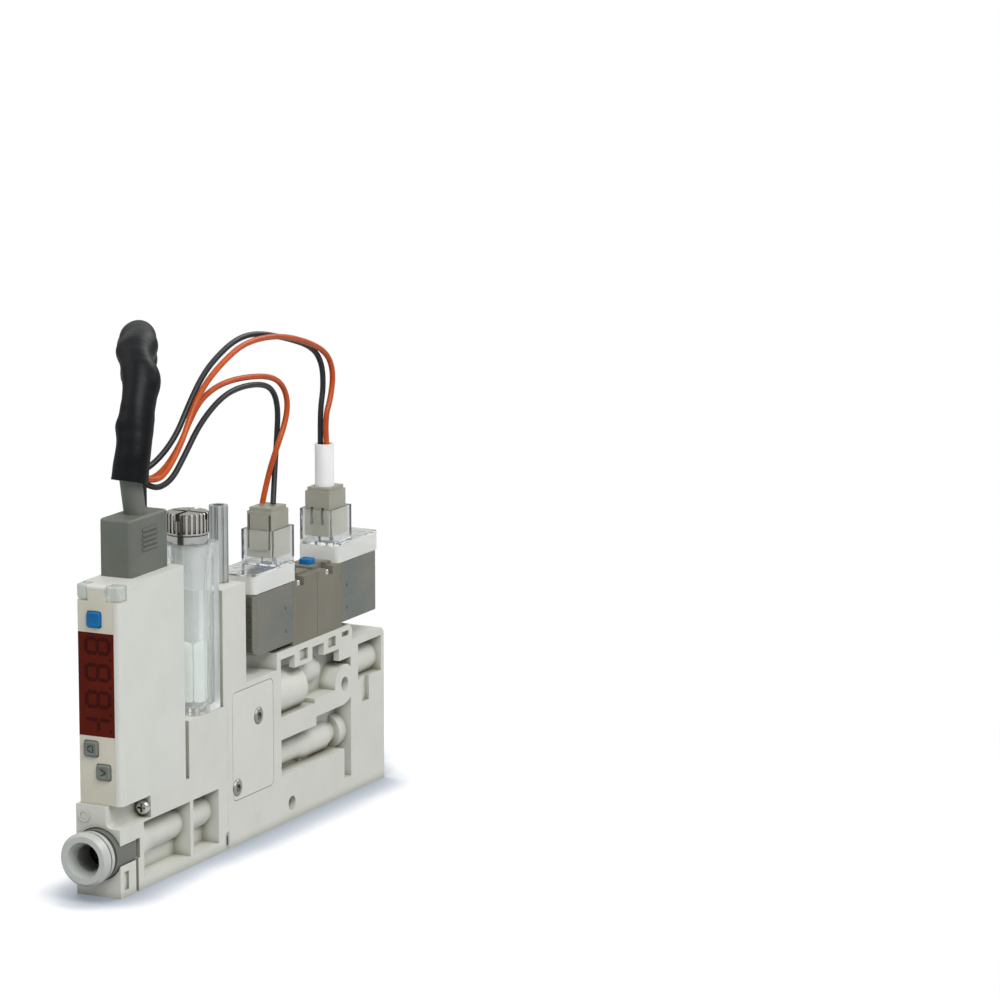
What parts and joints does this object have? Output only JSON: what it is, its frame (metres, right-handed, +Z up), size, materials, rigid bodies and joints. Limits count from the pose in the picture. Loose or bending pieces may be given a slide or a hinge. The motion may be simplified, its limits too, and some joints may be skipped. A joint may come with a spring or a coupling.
{
  "type": "vacuum ejector",
  "caption": "Slim vacuum ejector for a robot suction tool, with digital pressure switch, clear suction filter, flow screw, pilot valves and plugged lead harness.",
  "frame": {"origin": "bottom centre of the unit's bounding box, without its free cable and leads", "axes": "+Y runs from the vacuum port to the rear end and is the longest extent, +X is the unit's right side seen from the port, +Z is up"},
  "size_m": [0.0605, 0.2057, 0.164],
  "materials": {
    "body_grey": "moulded grey engineering plastic",
    "cover_grey": "moulded grey engineering plastic",
    "black_screw": "black oxide socket screws",
    "spring_steel": "bright spring steel",
    "fitting_grey": "grey plastic",
    "stainless": "stainless steel",
    "seal_rubber": "nitrile rubber",
    "collar_grey": "pale grey plastic",
    "case_white": "off-white moulded case",
    "panel_beige": "beige front panel",
    "display_red": "dark red display window",
    "cap_clear": "translucent light guide",
    "button_blue": "blue plastic",
    "button_grey": "grey plastic",
    "circuit_board": "blue circuit board with parts",
    "chrome_screw": "bright screws",
    "plug_dark": "dark grey moulded plug",
    "clear_case": "clear polycarbonate",
    "filter_white": "porous white element",
    "anodised": "clear anodised",
    "anodised_grey": "grey anodised",
    "brass": "turned brass",
    "valve_brown": "brown-grey resin",
    "frame_steel": "bent magnetic steel sheet",
    "coil_black": "moulded coil",
    "plug_grey": "grey connector housing",
    "lead_red": "red-orange insulation",
    "lead_black": "black insulation",
    "cable_black": "black sheath",
    "marker_white": "white tubing"
  },
  "bodies": {
    "body": {"port_block": "body_grey", "ejector_body": "body_grey", "cover_plate": "cover_grey", "cover_screws": "black_screw", "joint_clip": "spring_steel", "fitting_body": "fitting_grey", "fitting_clip": "spring_steel", "grab_ring": "stainless", "port_seal": "seal_rubber", "switch_case": "case_white", "front_panel": "panel_beige", "display_window": "display_red", "light_cap": "cap_clear", "switch_board": "circuit_board", "pressure_sensor": "stainless", "switch_screw": "chrome_screw", "cable_plug": "plug_dark", "filter_case": "clear_case", "filter_element": "filter_white", "filter_seal": "seal_rubber", "flow_housing": "anodised", "fluted_post": "anodised_grey", "nozzle": "brass", "diffuser": "anodised", "silencer_element": "filter_white", "supply_spring": "spring_steel", "release_spring": "spring_steel", "supply_valve_body": "valve_brown", "supply_coil_frame": "frame_steel", "supply_coil": "coil_black", "supply_valve_cover": "clear_case", "supply_valve_board": "circuit_board", "supply_plug_housing": "plug_grey", "supply_red_lead": "lead_red", "supply_black_lead": "lead_black", "release_valve_body": "valve_brown", "release_coil_frame": "frame_steel", "release_coil": "coil_black", "release_valve_cover": "clear_case", "release_valve_board": "circuit_board", "release_plug_housing": "plug_grey", "release_red_lead": "lead_red", "release_black_lead": "lead_black", "valve_screws": "chrome_screw", "signal_cable": "cable_black", "cable_sleeve": "cable_black", "cable_hank": "cable_black", "marker_tube": "marker_white"},
    "release_collar": {"release_collar": "collar_grey"},
    "set_button": {"set_button": "button_blue"},
    "up_button": {"up_button": "button_grey"},
    "down_button": {"down_button": "button_grey"},
    "flow_knob": {"flow_knob": "anodised", "flow_needle": "brass"},
    "supply_spool": {"supply_spool": "anodised"},
    "release_spool": {"release_spool": "anodised"},
    "supply_plunger": {"supply_plunger": "stainless"},
    "release_plunger": {"release_plunger": "stainless"},
    "supply_override": {"supply_override": "button_blue"},
    "release_override": {"release_override": "button_blue"}
  },
  "joints": [
    {"name": "release_collar_slide", "type": "slide", "parent": "body", "child": "release_collar", "axis": [0, 1, 0], "range_m": [0, 0.001], "stiffness_N_per_m": 400},
    {"name": "set_button_slide", "type": "slide", "parent": "body", "child": "set_button", "axis": [0, 1, 0], "range_m": [0, 0.0005], "stiffness_N_per_m": 300},
    {"name": "up_button_slide", "type": "slide", "parent": "body", "child": "up_button", "axis": [0, 1, 0], "range_m": [0, 0.0005], "stiffness_N_per_m": 300},
    {"name": "down_button_slide", "type": "slide", "parent": "body", "child": "down_button", "axis": [0, 1, 0], "range_m": [0, 0.0005], "stiffness_N_per_m": 300},
    {"name": "flow_knob_turn", "type": "hinge", "parent": "body", "child": "flow_knob", "pos_m": [0, -0.0246, 0.1], "axis": [0, 0, 1], "continuous": true},
    {"name": "supply_spool_slide", "type": "slide", "parent": "body", "child": "supply_spool", "axis": [0, 1, 0], "range_m": [0, 0.0015], "stiffness_N_per_m": 300},
    {"name": "release_spool_slide", "type": "slide", "parent": "body", "child": "release_spool", "axis": [0, 1, 0], "range_m": [0, 0.0015], "stiffness_N_per_m": 300},
    {"name": "supply_plunger_slide", "type": "slide", "parent": "body", "child": "supply_plunger", "axis": [0, 1, 0], "range_m": [0, 0.0006], "stiffness_N_per_m": 300},
    {"name": "release_plunger_slide", "type": "slide", "parent": "body", "child": "release_plunger", "axis": [0, -1, 0], "range_m": [0, 0.0006], "stiffness_N_per_m": 300},
    {"name": "supply_override_slide", "type": "slide", "parent": "body", "child": "supply_override", "axis": [0, 0, -1], "range_m": [0, 0.0008], "stiffness_N_per_m": 300},
    {"name": "release_override_slide", "type": "slide", "parent": "body", "child": "release_override", "axis": [0, 0, -1], "range_m": [0, 0.0008], "stiffness_N_per_m": 300}
  ]
}
